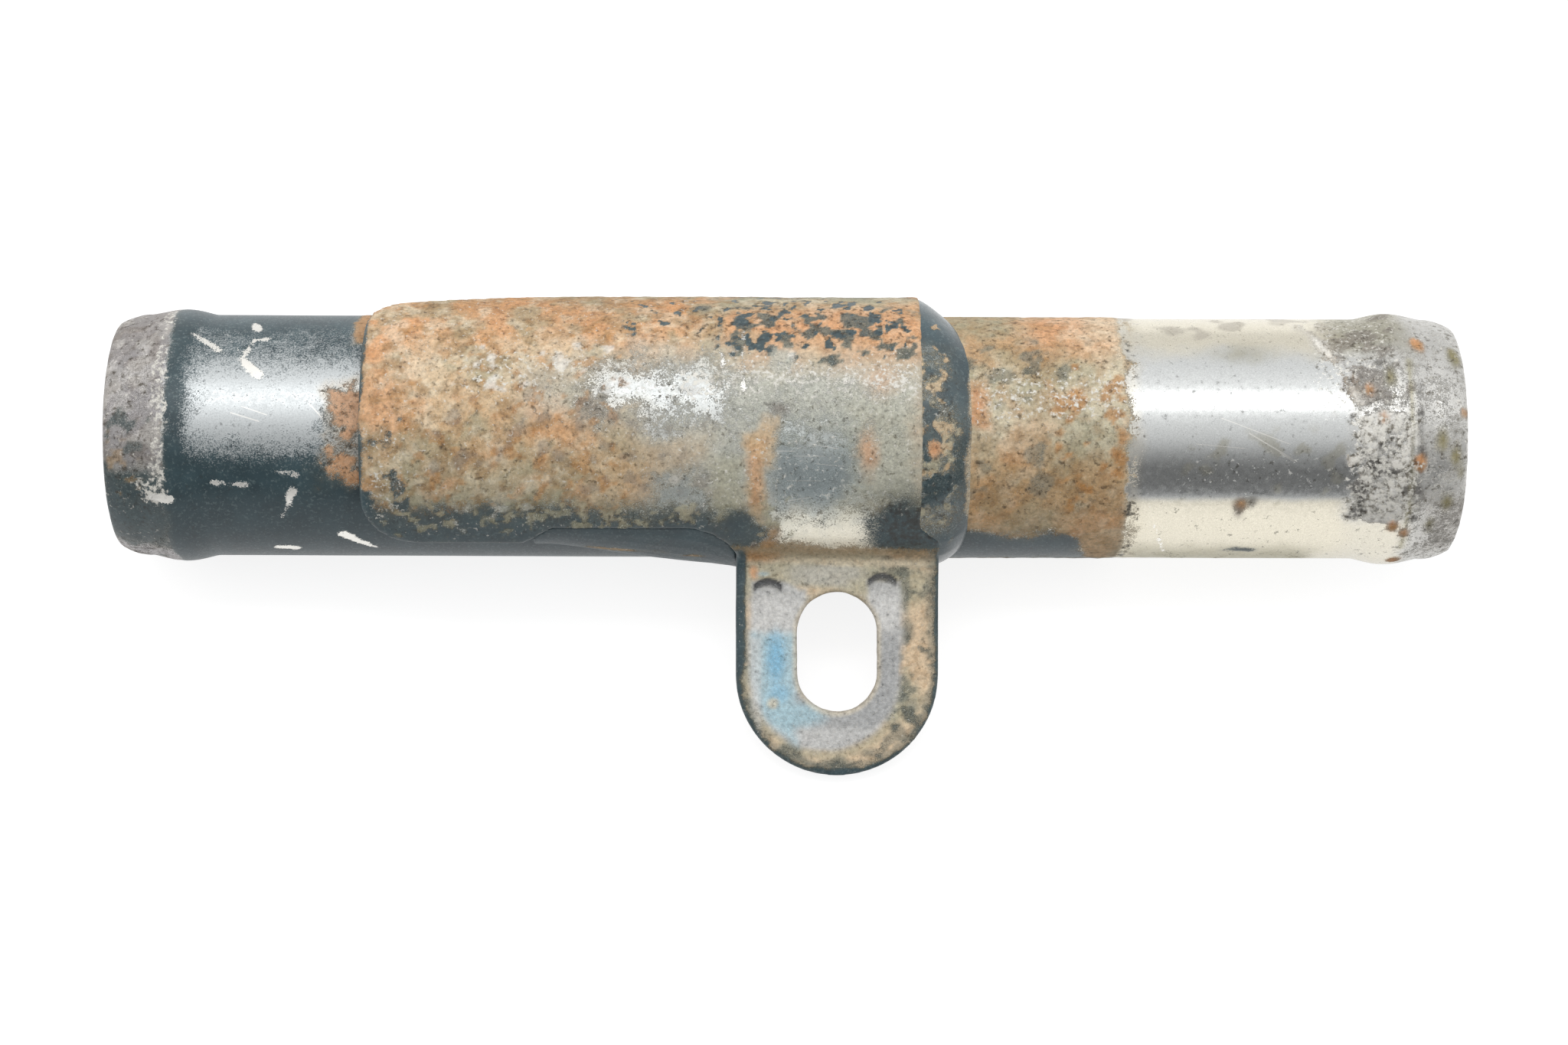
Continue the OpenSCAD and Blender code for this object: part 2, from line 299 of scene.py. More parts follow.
def weather_tube(coat):
    """Lays the tube's finishes, in the order that they cover each other."""
    band, flecks, speckle = coat.band, coat.flecks, coat.speckle
    # Middle, from the weld to the edge of the hose
    band("olive", 14, 36, -48, 120, soft=3)
    band("brown", 14, 26, 30, 120, 0.55)
    band("orange", 25, 36, 40, 100, 0.9, soft=2.5)
    band("brown", 24, 30, 24, 50, 0.45, soft=2.5)
    band("brown", 22, 35.5, 84, 130, 0.6)
    band("cream", 18.5, 29, -6, 18, 0.6)
    band("cream", 30, 36, 2, 90, 0.6)
    band("tan", 18, 36, -50, -10)
    band("brown", 22, 36, -34, -6, 0.45)
    band("rust", 18.5, 24, -46, -16, 0.35, soft=1.4)
    band("orange", 18.6, 20.6, 4, 26, soft=0.8, ragged=0.8)
    band("tan", 31, 36, -84, -40, soft=1.5)
    band("olive", 14, 36, 200, 275, 0.6, ragged=3)
    band("tan", 20, 36, 130, 200, 0.7, ragged=3)
    coat.mottle(0.7)
    flecks("dusty", 19, 30, -30, 0, 2, 0.8, 103, 0.5)
    flecks("dusty", 18, 30, 18, 46, 1.4, 0.8, 104, 0.6)
    speckle(18, 36, -44, 90, 0, 0.27)
    speckle(19, 36, 4, 32, 0.34)
    flecks("rust", 28, 36, -34, 34, 1.4, 0.8, 109, 0.7)
    # Left hose end: painted, rubbed through to plate along its front
    rubbed = ramp(coat.x, -62.4, -60.6) * (coat.x < -40)
    coat.lay("worn", rubbed * ramp(coat.angle, -27, -5) * (1 - ramp(coat.angle, 44, 80)))
    coat.lay("bare", rubbed * ramp(coat.angle, -16, 8) * (1 - ramp(coat.angle, 20, 46)))
    band("worn", -64.5, -60, -8, 50, 0.5, soft=1.6, ragged=0.8)
    band("orange", -47.2, -43, -24, 22, 0.75, soft=1.4, ragged=2.4)
    flecks("worn", -48, -43, -24, 22, 1.6, 0.9, 110, 0.5, soft=1)
    speckle(-48, -43, -24, 22, 0, 0.3, soft=1)
    band("ochre", -44.8, -42, 46, 90, 0.8, soft=0.5, ragged=0.8)
    band("oxide", -75, -63.6, soft=0.5, ragged=0.6)
    band("umber", -75, -63.4, 42, 90, 0.35, soft=2, ragged=1.4)
    flecks("umber", -75, -64.5, -200, 200, 1.5, 0.9, 111, 0.6, soft=1.2)
    flecks("white", -75, -64, -20, 90, 1.8, 0.9, 113, 0.3, soft=1.2)
    flecks("dark", -75, -65, -90, 10, 1.6, 0.7, 112, 0.5, soft=1.2)
    speckle(-75, -64.4, -200, 200, 0.16, 0.3, soft=1)
    speckle(-64.9, -63.5, -30, 100, 0.46, soft=0.3)
    band("dark", -75, -63.4, -64, -18, 0.8, soft=2, ragged=1)
    speckle(-66.5, -64, -34, -22, 0.5, soft=0.6)
    flecks("brown", -70, -66, -34, 6, 1.2, 0.5, 117, 0.6, soft=1)
    # Right hose end: bare plate, with a thin dry film above and below
    band("clean", 35.1, 76, soft=0.5, ragged=0.8)
    band("film", 35.1, 60, 44, 110, soft=2, ragged=1.2)
    band("film", 35.1, 66, -90, -31, soft=0.5, ragged=0.25)
    band("grime", 35.1, 66, -125, -66, 0.85, soft=2.5, ragged=0.8)
    band("film", 36, 76, 140, 230, 0.7, soft=3, ragged=3)
    band("cream", 35, 36.4, soft=0.8, ragged=1, cover=0.4)
    speckle(38, 60, 40, 90, 0, 0.14)
    flecks("umber", 36, 58, 54, 90, 3, 0.7, 122, 0.35)
    speckle(40, 60, -29, -3, 0.14, 0.2)
    flecks("grime", 40, 58, -30, -4, 1.6, 0.7, 123, 0.45)
    # Scale, pits and soot on the right bead and lip
    band("bloom", 58, 75, soft=1.5, ragged=1.5)
    band("film", 55, 64, -90, -42, 0.8, soft=1.5, ragged=1.5)
    band("grime", 56, 64, 46, 100, 0.7, soft=2, ragged=1.5)
    flecks("umber", 57, 64, 14, 80, 1.6, 0.8, 125, 0.6, soft=1.5)
    speckle(54, 64, 10, 90, 0.3, 0.3)
    flecks("soot", 58, 65, -40, 10, 1.6, 1.2, 131, soft=1)
    flecks("white", 58, 65, -42, 12, 1.5, 1.1, 127, soft=1)
    speckle(57.5, 65, -42, 12, 0.46, 0.42, soft=1.2)
    coat.streak("white", (53.6, 66), (58.6, 16), 0.9, 0.8, soft=0.6, ragged=0.9)
    coat.streak("umber", (54.6, 60), (58.8, 24), 0.4, 0.7, soft=0.5, ragged=0.9)
    speckle(64.5, 75, -120, 120, 0.2, 0.26, soft=1)
    coat.streak("grime", (64, 36), (64, -60), 0.5, 0.8, soft=0.3, ragged=0.3)
    coat.streak("soot", (64.9, 24), (64.9, -34), 0.5, 0.7, soft=0.4, ragged=0.5)
    band("umber", 66, 75, -70, -30, 0.4, soft=2, ragged=1.2)


# Chips: from x and angle, to x and angle, and how wide
TUBE_CHIPS = (
    (-61.3, 52, -58, 41, 0.35), (-57.8, 53, -55.8, 38, 0.1), (-55.2, 62, -54.7, 58, 0.85),
    (-53.6, 50, -55, 49, 0.3), (-55, 49, -55.9, 37, 0.5), (-55.9, 37, -54.2, 28, 0.75),
    (-59.2, 35, -58.9, 28, 0.05), (-65.2, -31, -62.9, -31, 0.55), (-58.6, -24, -55.3, -25, 0.15),
    (-52.2, -18, -50.1, -20, 0.04), (-50.6, -28, -51.2, -36, 0.65), (-51.2, -36, -51.9, -43, 0.25),
    (-53, -68, -51, -69, 0.9), (-45.7, -55, -44.4, -61, 0.85), (-44.4, -61, -42.6, -68, 0.45),
    (37.2, -31, 39.6, -70, 0.02),
)
SADDLE_CHIPS = (
    (-6.5, 33, -6.4, 29, 0.4), (-4.3, 45, -4.4, 34, 0.05), (-4.4, 34, -4.2, 26, 0.32),
    (-4.2, 24, -4.3, 16, 0.03), (-8.6, 38, -8.5, 35, 0.3),
)
# The crescents that a washer's corners pressed into the tab: centre and height
TAB_DENTS = ((-1.75, -15.05), (10.1, -14.45))
# The washer's print on the tab, and the ring of dirt that gathered round it
WASHER_X = 4.25
WASHER_V = -24.8
WASHER_R = 7.75
DIRT_RING_R = 8.3


def mark_tube(coat):
    """Chips the tube and adds its single spots."""
    for ends in TUBE_CHIPS:
        coat.chip(*ends)
    # Rust and dirt on the right bead
    for x, angle, size in (
        (65.2, 47, 1.4), (58.4, 27, 0.6), (59.9, 22, 0.8), (61.2, 8, 0.5), (64.9, -12, 1.3),
        (62.7, -44, 0.9), (64, -49, 1.1), (63.8, -74, 1.2), (69.6, 11, 0.7),
    ):
        coat.spot("rust", x, angle, size, 1.2 * size, 0.9, soft=0.4, ragged=0.4)
        coat.spot("orange", x - 0.2, angle + 2, 0.6 * size, 0.8 * size, 0.8, soft=0.3, ragged=0.3)
    for x, angle, size in (
        (68.9, 43, 0.9), (61.9, 27, 1.2), (67.2, -2, 1), (68.6, -10, 1), (69.2, -18, 0.9),
        (68, -32, 1.1), (66.5, -45, 0.9),
    ):
        coat.spot("moss", x, angle, size, 1.8 * size, 0.85, ragged=0.5)
    coat.spot("soot", 61.2, 35, 1.6, 1.3, 0.7, ragged=0.6)
    coat.spot("rust", 46.9, -34, 0.9, 1, 0.9, ragged=0.7)
    coat.spot("umber", 46.7, -38, 0.7, 1.2, 0.9, ragged=0.7)
    coat.spot("soot", 48, -32, 0.7, 1, 0.9, ragged=0.5)
    coat.spot("dark", 47.5, -68, 3, 1.3, 0.8, ragged=0.7)
    coat.spot("grime", 47, 42, 5, 2.6, 0.6, soft=1.2, ragged=0.8)
    edge_of_hose = ramp(coat.x, 34.5, 35.4) * (1 - ramp(coat.x, 35.6, 36.6))
    coat.stain(0.45 * edge_of_hose * ramp(cloud(coat.place, 3, 93), 0.45, 0.6))


def weather_saddle(coat):
    """Lays the saddle's finishes, in the order that they cover each other."""
    band, flecks, speckle = coat.band, coat.flecks, coat.speckle
    band("tan", -43.6, 15, -30, 200, soft=2.6)
    band("ochre", -44, -2, 50, 110, 0.9, soft=3)
    band("orange", -44, -2, 36, 62, 0.45, soft=3)
    band("brown", -39, -6, 72, 200, 0.5, soft=2.5)
    band("orange", -44, -38, -6, 60, 0.6, soft=2.5)
    band("orange", -6, 14, 40, 62, 0.6, soft=2.5)
    band("cream", -38, -12, 12, 44, 0.4, soft=3)
    band("olive", -42, -14, -40, -14, 0.75, soft=4)
    band("dusty", -42, -6, -44, -28, 0.45, soft=3)
    band("olive", -8, 14, 64, 200, 0.85, soft=3)
    band("dusty", -8, 14, 76, 200, 0.7, soft=3)
    band("rust", -15, -9.5, -18, -2, 0.35, soft=1.6)
    coat.mottle()
    # Thinner and greyer to the right, with the plate rubbed bright along the front
    band("satin", -14, 14.4, -34, 32, soft=3)
    band("satin", -26, -10, 8, 27, 0.6, soft=2.6)
    band("bare", -19.4, -7, 6, 27, 0.85, soft=4, ragged=3)
    band("olive", -9, 14, 26, 38, 0.3, soft=2.4)
    band("orange", -3, 14, 34, 62, 0.6, soft=3, ragged=2.5)
    band("tan", -20, -8, -30, -5, 0.6, soft=2.5)
    band("cool", -14, -7, -34, -16, 0.7, soft=2)
    band("cool", -2, 7.4, -33, -2, soft=3, ragged=1.8)
    band("olive", -18, 14, -44, -32, 0.4, soft=2)
    band("dark", -43.6, -5, -62, -35, soft=2.4, ragged=1)
    band("film", -0.8, 10.5, -58, -34, 0.85, soft=2.6, ragged=2.2)
    band("tan", -4.6, -1.5, -13, 2, 0.8, soft=0.9, ragged=1.6)
    band("tan", -3.9, -2.2, -38, -2, 0.8, soft=0.7, ragged=1.3)
    band("orange", -3.8, -2.4, -30, -4, 0.5, soft=0.6, ragged=1.2)
    band("olive", -7.4, -4.4, -40, -10, 0.6, soft=1, ragged=1.2)
    band("brown", -6, 12, -70, -51, 0.65, soft=2.2, ragged=1.6)
    band("olive", 6.4, 14, -34, 12, 0.35, soft=2)
    coat.spot("orange", 8.4, -8, 1.6, 3, 0.7, soft=1)
    coat.spot("orange", 9.6, 21, 2.8, 2.2, 0.5, soft=1.2)
    # Paint and pale scale left in the crust, and pale specks that are partly painted glints
    flecks("dusty", -6, 14, 30, 60, 1.1, 1.1, 141, soft=2)
    flecks("paint", -6, 14, 36, 72, 0.9, 0.6, 143, soft=2.5)
    flecks("paint", -16, 0, 46, 80, 0.9, 0.3, 145, 0.8, soft=2)
    flecks("rust", -40, -17, -26, 44, 1, 0.5, 147, 0.5)
    speckle(-12, 14, 36, 72, 0, 0.34)
    speckle(-43, -8, -30, 90, 0.16, 0.24)
    speckle(-12, 14, -36, 22, 0.22, 0.22)
    # Pale specks along the band where the highlight falls: partly pale scale, partly painted glints
    speckle(-12, 14, 12, 32, 0.44)
    speckle(-20, -8, 8, 28, 0.26, 0.24)
    speckle(-34, -12, 14, 36, 0.3)
    flecks("white", -34, -18, 18, 36, 1.5, 0.5, 149, 0.6, soft=2)
    flecks("umber", -36, -8, -24, 12, 1.5, 0.6, 151, 0.4)
    flecks("paint", -43.6, -38.5, -44, 4, 1.4, 0.9, 152, 0.6, soft=1)
    speckle(-43, -38, -38, 2, 0.26, 0.24, soft=1)
    flecks("satin", -35, -26, -44, -32, 1.2, 0.8, 155, 0.6, soft=1.5)
    flecks("olive", -42, 0, -44, -28, 0.9, 0.7, 157, 0.6, soft=1.5)
    speckle(-42, -5, -50, -30, 0.16, 0.24, soft=1.5)
    speckle(0, 9, -52, -36, 0, 0.12, soft=1.5)


def mark_saddle(coat):
    """Chips the saddle and adds its single spots and its dark edges."""
    for ends in SADDLE_CHIPS:
        coat.chip(*ends)
    coat.spot("dusty", -8.6, 63, 1.4, 1.2, 0.85, ragged=0.7)
    coat.spot("satin", -0.4, 30, 2.4, 2.2, 0.8, soft=0.4, ragged=0.9)
    coat.spot("chip", 0.6, 33, 0.5, 0.6)
    coat.spot("dark", -4.8, -41, 2.6, 4.2, soft=1, ragged=0.9)
    coat.spot("umber", -0.6, 10, 2.2, 1.2, 0.8, ragged=0.6)
    coat.spot("chip", -11, -19, 0.6, 0.5)
    coat.band("paint", -44, -43.1, -40, 60, 0.8, soft=0.3, ragged=0.5)
    coat.band("paint", -44, -42.4, -80, -24, 0.9, soft=0.5, ragged=0.4)
    coat.streak("rust", (-1.2, -43), (-2.4, -58), 1.1, 0.6, soft=0.7, ragged=1)
    coat.spot("soot", -3.2, -52, 0.7, 1.6, soft=0.2, ragged=0.1)
    coat.spot("dark", 12.2, -41, 5.5, 6, soft=3, ragged=0.8)
    coat.stain(0.55 * ramp(coat.x, 8.6, 11.6) * (1 - ramp(np.abs(coat.angle + 40), 5, 17)))


def weather_tab(coat):
    """Lays the tab's own finishes over the saddle's, below the bend."""
    x, v = coat.x, coat.v
    sides = np.minimum(x - (TAB_CENTRE - TAB_HALF_WIDTH), TAB_RIGHT - x)
    tip = TAB_HALF_WIDTH - np.hypot(x - TAB_CENTRE, v - (TAB_TIP_V + TAB_HALF_WIDTH))
    rim = np.where(v < TAB_TIP_V + TAB_HALF_WIDTH, tip, sides)
    below_bend = 1 - ramp(v, -12.6, -11.4)
    front = ramp(coat.u, SHEET_MIDDLE_U - 0.2, SHEET_MIDDLE_U + 0.3)
    face = below_bend * front
    ragged = 0.5 * coat.drift[1] + 0.3 * coat.drift[4]
    coarse = 1.2 * coat.drift[0] + 0.8 * coat.drift[3]

    def lay(finish, inside, soft=0.35, cover=1, on=face):
        """Lays a finish where inside is above 0, on the tab's face unless another place is given."""
        coat.lay(finish, on * cover * ramp(inside, -soft, soft))

    def oval(centre_x, centre_v, width, height, wobble=0.6):
        """How far each point is inside an oval on the tab, in millimetres."""
        far = np.sqrt((2 * (x - centre_x) / width) ** 2 + (2 * (v - centre_v) / height) ** 2)
        return (1 - far) * min(width, height) / 2 + wobble * ragged

    coat.lay("paint", below_bend)
    lay("tan", coarse + 1.2, 0.8, 0.55, below_bend * (1 - front))
    coat.lay("sand", face)
    lay("ash", np.minimum(v + 17.5 + 0.5 * coarse, 10.6 - x) + ragged, 0.8, 0.95)
    lay("olive", oval(12.6, -15.5, 5, 4, wobble=1.8), 0.9, 0.75)
    lay("olive", oval(12.6, -27.5, 4, 5, wobble=1.8), 0.9, 0.65)
    from_washer = np.hypot(x - WASHER_X, v - WASHER_V)
    dirt_ring = 0.6 - np.abs(from_washer - DIRT_RING_R) + 0.9 * ragged
    lay("olive", dirt_ring, 0.5, 0.6 * (v < -24))
    near_rim, at_rim = ramp(1.8 - rim, 0, 1.2), ramp(1.0 - rim, 0, 0.8)
    coat.flecks("dusty", 9.5, 15, -180, 180, 1.3, 0.75, 171, 0.6 * face, soft=1.2)
    coat.flecks("dusty", -6, 15, -180, 180, 1.1, 0.9, 173, 0.7 * face * near_rim)
    coat.flecks("dark", -6, 15, -180, 180, 0.8, 0.7, 175, face * at_rim)
    lay("olive", np.minimum(v + 16.6 + 0.6 * coarse, 9.6 - x) + ragged, 0.6, 0.55)
    lay("steel", np.minimum(oval(3.6, -14.4, 7, 2.6), -13.2 - v) + ragged, 0.7, 0.5)
    for spot in (
        (12.2, -16, 1.6, 3.4), (12.6, -20.4, 1.2, 2), (12.4, -27, 1.5, 1.4),
        (13.3, -28.8, 1.4, 3), (11.8, -13.9, 2.4, 1.2), (9, -33, 2.6, 1),
        (0, -32.4, 3, 1), (5.5, -34, 3.4, 0.9), (11.4, -30.2, 1, 1),
    ):
        lay("dusty", oval(*spot, wobble=1.5), 0.35, 0.65)
    # Painted highlight: a cream line along the foot of the bend, where the sheet turns up towards the light
    lay("cream", 0.35 - np.abs(v + 12.9 + 0.02 * x) + 0.5 * ragged, 0.3, 0.9)
    lay("sand", oval(2.6, -16.2, 4.2, 1, wobble=0.8), 0.4, 0.8)
    # Where a washer wore the face bare
    in_washer = WASHER_R - np.where(v < WASHER_V, from_washer, np.abs(x - WASHER_X))
    top = -16.0 - v + 0.9 * ramp(np.abs(x - WASHER_X), 2.5, 4.5)
    arms = np.abs(x - TAB_CENTRE) - 3.2
    washer = np.minimum(in_washer, np.where(v > -17.4, np.minimum(top, arms), top)) + 0.35 * ragged
    open_face = face * (1 - ramp(washer, -0.3, 0.3))
    coat.speckle(-6, 15, -180, 180, 0.1, 0.16, where=open_face)
    lay("steel", washer, 0.35)
    lay("pale", np.minimum(washer, np.minimum(v + 21.5, -17.0 - v) + coarse), 1, 0.8)
    lower_right = np.minimum(washer, 0.75 * (x - 3) - (v + 25.5) + coarse)
    lay("slate", np.minimum(lower_right, -20.4 - v), 0.9, 0.9)
    lay("pale", np.minimum(washer, -30.2 - v + 0.5 * coarse), 0.6, 0.6)
    lay("blue", np.minimum(washer, np.minimum(1.2 - x, -20.6 - v) + 0.8 * ragged), 0.8, 0.9)
    lay("blue", np.minimum(washer, oval(0.9, -29, 6, 2.6)), 0.6, 0.9)
    lay("pale", np.minimum(0.6 - np.abs(x + 3), -21 - v) + 0.4 * ragged, 0.4, 0.6)
    lay("sky", oval(-0.9, -23.2, 1.8, 5), 0.6, 0.9)
    lay("sky", oval(-0.6, -26.8, 2, 2), 0.6, 0.6)
    lay("cream", oval(-1.2, -27.9, 1.4, 1.4, wobble=1.2), 0.3, 0.7)
    # Painted shade in the bend, and rust in the corners
    lay("brown", 0.5 - np.abs(v + 12) + 0.5 * ragged, 0.6, 0.5, ramp(v, -13.5, -12.8))
    lay("rust", oval(-3, -12.6, 4.2, 1.2), 0.4, 0.7, ramp(v, -14.4, -13.6))
    lay("orange", oval(-3.2, -14.2, 1, 1.6), 0.3, 0.8)
    lay("sky", oval(-2.2, -14.4, 1.3, 0.5), 0.25, 0.6)
    # Paint along the cut edges, wide on the left, and a rubbed bright slot
    left = ramp(-x, 3.9, 4.3)
    lay("dusty", 1.2 - rim + 1.4 * ragged, 0.4, 0.6)
    lay("dark", 0.42 + 0.7 * left * ramp(v, -28, -20) - rim + 1.1 * ragged, 0.3, 1, below_bend)
    slot_v = np.clip(v, SLOT_CENTRE_V - SLOT_HALF_STRAIGHT, SLOT_CENTRE_V + SLOT_HALF_STRAIGHT)
    from_slot = np.hypot(x - TAB_CENTRE, v - slot_v) - SLOT_R
    lay("cream", 0.35 - from_slot, 0.2, 0.5, below_bend)
    slot_dirt = ramp(0.9 - np.abs(from_slot - 0.7), 0, 0.8) * ramp(coat.drift[5], 0.25, 0.55)
    coat.stain(0.35 * below_bend * slot_dirt)
    # Painted shade on the steep top wall of each washer's crescent, which faces down, away from the light
    for centre, height in TAB_DENTS:
        coat.lay("dent_and_shade", 0.95 * face * dent_and_shade(x, v, centre, height))


def dent_and_shade(x, v, centre, height):
    """1 at the top of the crescent that a washer's corner pressed into the tab, fading downwards. It gives
    the crescent's depth and its painted shade.
    """
    below = height + 0.2 - 0.30 * (x - centre) ** 2 - v
    return ramp(below, -0.12, 0.12) * (1 - ramp(below, 0.35, 1.3)) * ramp(1.7 - np.abs(x - centre), 0, 0.3)


def weather_weld(coat):
    """Lays the end weld's finishes: paint, worn to scale beside the saddle."""
    coat.band("specked", 13, 17.2, -46, 40, soft=1.4, ragged=1)
    coat.band("specked", 13, 19.2, -46, 16, 0.5, soft=1.2, ragged=1)
    coat.flecks("tan", 13, 16.8, -24, 54, 1, 0.9, 161, 0.6, soft=0.8)
    coat.flecks("olive", 13, 17.4, -50, 4, 1, 0.7, 165, 0.5, soft=0.8)
    coat.speckle(13, 17.4, -46, 30, 0.12, 0.3, soft=0.8)
    coat.flecks("paint", 13.9, 17, -30, 30, 1.4, 0.8, 163, 0.7, soft=0.6)
    coat.spot("orange", 15.2, -6, 1.2, 1.3, ragged=0.3)
    coat.spot("brown", 14.6, -50, 2.2, 1.8, 0.8)
    coat.band("cream", 18.7, 19.6, -46, 30, 0.5, soft=0.3, ragged=0.7)


# ---- Meshes ----

def to_frame(place):
    """Frame points, in metres, from x, distance to the front and height."""
    return MM * (place[:, :1] * ALONG + place[:, 1:2] * FRONT + place[:, 2:3] * UP)


def from_frame(points):
    """x, distance to the front and height, in millimetres, from frame points."""
    return np.stack([points @ ALONG, points @ FRONT, points @ UP], axis=1) / MM


def show_coat(piece, coat):
    """Stores a coat on a mesh, for its material to read."""
    kept = {"plate": coat.plate, "crust": coat.crust, "layers": coat.layers, "specks": coat.specks}
    for name, values in kept.items():
        attribute = piece.data.attributes.new(name, "FLOAT_COLOR", "POINT")
        attribute.data.foreach_set("color", values.astype(np.float32).ravel())


def add_object(name, data):
    """Puts an object in the scene."""
    made = bpy.data.objects.new(name, data)
    bpy.context.scene.collection.objects.link(made)
    return made


def new_piece(name, mesh, material, node):
    """Puts a mesh in the scene in place of a CAD node."""
    piece = add_object(name, mesh)
    mesh.materials.append(material)
    mesh.shade_smooth()
    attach(piece, "root")
    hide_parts(node)
    return piece


def grid_mesh(name, grid, closed):
    """A mesh through rows of points, each row a loop. The last row joins the first, or both are capped."""
    rows, columns = grid.shape[:2]
    mesh = bpy.data.meshes.new(name)
    last = rows if closed else rows - 1
    i, j = np.meshgrid(np.arange(last), np.arange(columns), indexing="ij")
    this_row, next_row, beside = i * columns, (i + 1) % rows * columns, (j + 1) % columns
    corners = (this_row + j, this_row + beside, next_row + beside, next_row + j)
    faces = np.stack(corners, axis=-1).reshape(-1, 4).tolist()
    if not closed:
        faces += [list(range(columns))[::-1], list(range((rows - 1) * columns, rows * columns))]
    mesh.from_pydata(to_frame(grid.reshape(-1, 3)).tolist(), [], faces)
    mesh.update()
    return mesh


def round_points(x, angle, r):
    """x, distance to the front and height of points at an angle round the tube."""
    turn = np.radians(angle)
    return np.stack(np.broadcast_arrays(x, r * np.cos(turn), r * np.sin(turn)), axis=-1)


def tube_outside(x):
    """The tube's outer radius: its beads, and the thinned lip at each end."""
    from_bead = np.clip((np.abs(x) - BEAD_X) / BEAD_HALF_WIDTH, -1, 1)
    bead = BEAD_HEIGHT * (1 - from_bead ** 2) ** 1.5
    from_end = np.clip((HALF - np.abs(x)) / LIP_LENGTH, 0, 1)
    edge = np.clip(1 - (HALF - np.abs(x)) / LIP_EDGE, 0, 1)
    return TUBE_R + bead - LIP_TAPER * (1 - from_end) ** 1.8 - LIP_EDGE * (1 - np.sqrt(1 - edge ** 2))


def tube_inside(x):
    """The bore's radius, which swells under each rolled bead."""
    from_bead = np.clip((np.abs(x) - BEAD_X) / BEAD_HALF_WIDTH, -1, 1)
    return BORE_R + 0.8 * BEAD_HEIGHT * (1 - from_bead ** 2) ** 1.5


def build_tube(material):
    """The tube, outside and in, with the finest mesh over its front."""
    fine_to, fine_columns, coarse_columns = 98, 158, 50
    body_rows, bore_rows = 390, 60
    front = np.linspace(-fine_to, fine_to, fine_columns, endpoint=False)
    back = np.linspace(fine_to, 360 - fine_to, coarse_columns, endpoint=False)
    angle = np.concatenate([front, back])
    body = np.linspace(-HALF + LIP_EDGE, HALF - LIP_EDGE, body_rows)
    lip = LIP_EDGE * np.array([1, 0.8, 0.5, 0.22, 0.05, 0])
    outer_x = np.concatenate([-HALF + lip[::-1], body[1:-1], HALF - lip])
    inner_x = np.linspace(HALF - 0.05, -HALF + 0.05, bore_rows)
    x = np.concatenate([outer_x, inner_x])
    r = np.concatenate([tube_outside(outer_x), tube_inside(inner_x)])
    in_bore = np.arange(len(x)) >= len(outer_x)
    place = round_points(x[:, None], angle[None, :], r[:, None]).reshape(-1, 3)
    coat = Coat(place)
    weather_tube(coat)
    mark_tube(coat)
    coat.break_up()
    bore_point = np.repeat(in_bore, len(angle))
    coat.stain(0.55 * bore_point * ramp(coat.drift[2], -0.2, 0.3))
    lift = coat.height() * np.where(bore_point, 0.4, 1)
    lift += 0.05 * (cloud(place, 12, 11, 2) - 0.5) * (np.abs(coat.x) < 60)
    ends = ramp(np.abs(coat.x), 65, 67) * ~bore_point
    lift += ends * (0.12 * (cloud(place, 2.2, 13) - 0.5) + 0.05 * (cloud(place, 0.8, 19) - 0.5))
    lift = np.clip(lift, -0.3, 0.3).reshape(len(x), len(angle))
    push = np.where(in_bore, -1, 1)[:, None] * lift
    grid = round_points(x[:, None], angle[None, :], r[:, None] + push)
    nudge = 0.10 * (cloud(place, 3, 23).reshape(len(x), len(angle)) - 0.5)
    grid[..., 0] += nudge * (np.abs(x) > HALF - 2 * LIP_EDGE)[:, None] * np.sign(x)[:, None]
    piece = new_piece("worn_tube", grid_mesh("worn_tube", grid, closed=True), material, "tube")
    show_coat(piece, coat)


def dense_copy(node, voxel):
    """A dense even mesh of a CAD node's shape."""
    scratch = add_object("dense_" + node, frame["nodes"][node].data.copy())
    remesh = scratch.modifiers.new("remesh", "REMESH")
    remesh.mode = "VOXEL"
    remesh.voxel_size = voxel * MM
    remesh.adaptivity = 0
    smooth = scratch.modifiers.new("smooth", "SMOOTH")
    smooth.factor = 0.5
    smooth.iterations = 4
    made = bpy.data.meshes.new_from_object(scratch.evaluated_get(bpy.context.evaluated_depsgraph_get()))
    bpy.data.objects.remove(scratch)
    return made


def read_points(mesh):
    """A mesh's points, in the frame's metres."""
    points = np.empty(len(mesh.vertices) * 3)
    mesh.vertices.foreach_get("co", points)
    return points.reshape(-1, 3)


def build_bracket(material):
    """The saddle and the tab, with their dents and crust. Where it lies on the tube it stays smooth."""
    mesh = dense_copy("bracket", 0.27)
    points = read_points(mesh)
    normals = np.empty(len(mesh.vertices) * 3)
    mesh.vertex_normals.foreach_get("vector", normals)
    place = from_frame(points)
    coat = Coat(place)
    weather_saddle(coat)
    mark_saddle(coat)
    weather_tab(coat)
    coat.break_up()
    reach = np.hypot(coat.u, coat.v)
    hidden = (reach < TUBE_R + 0.6) & (coat.v > -11)
    lift = coat.height() + 0.12 * (cloud(place, 7, 29) - 0.5)
    for centre, height in TAB_DENTS:
        lift -= 0.16 * dent_and_shade(coat.x, coat.v, centre, height) * (coat.u > SHEET_MIDDLE_U)
    lift = np.where(hidden, -0.02, np.clip(lift, -0.3, 0.3))
    points += normals.reshape(-1, 3) * (lift * MM)[:, None]
    mesh.vertices.foreach_set("co", points.ravel())
    mesh.update()
    mesh.materials.clear()
    piece = new_piece("worn_bracket", mesh, material, "bracket")
    show_coat(piece, coat)


# ---- Welds ----

WELD_FOOT = TUBE_R - 0.25
WELD_BULGE = 1.7


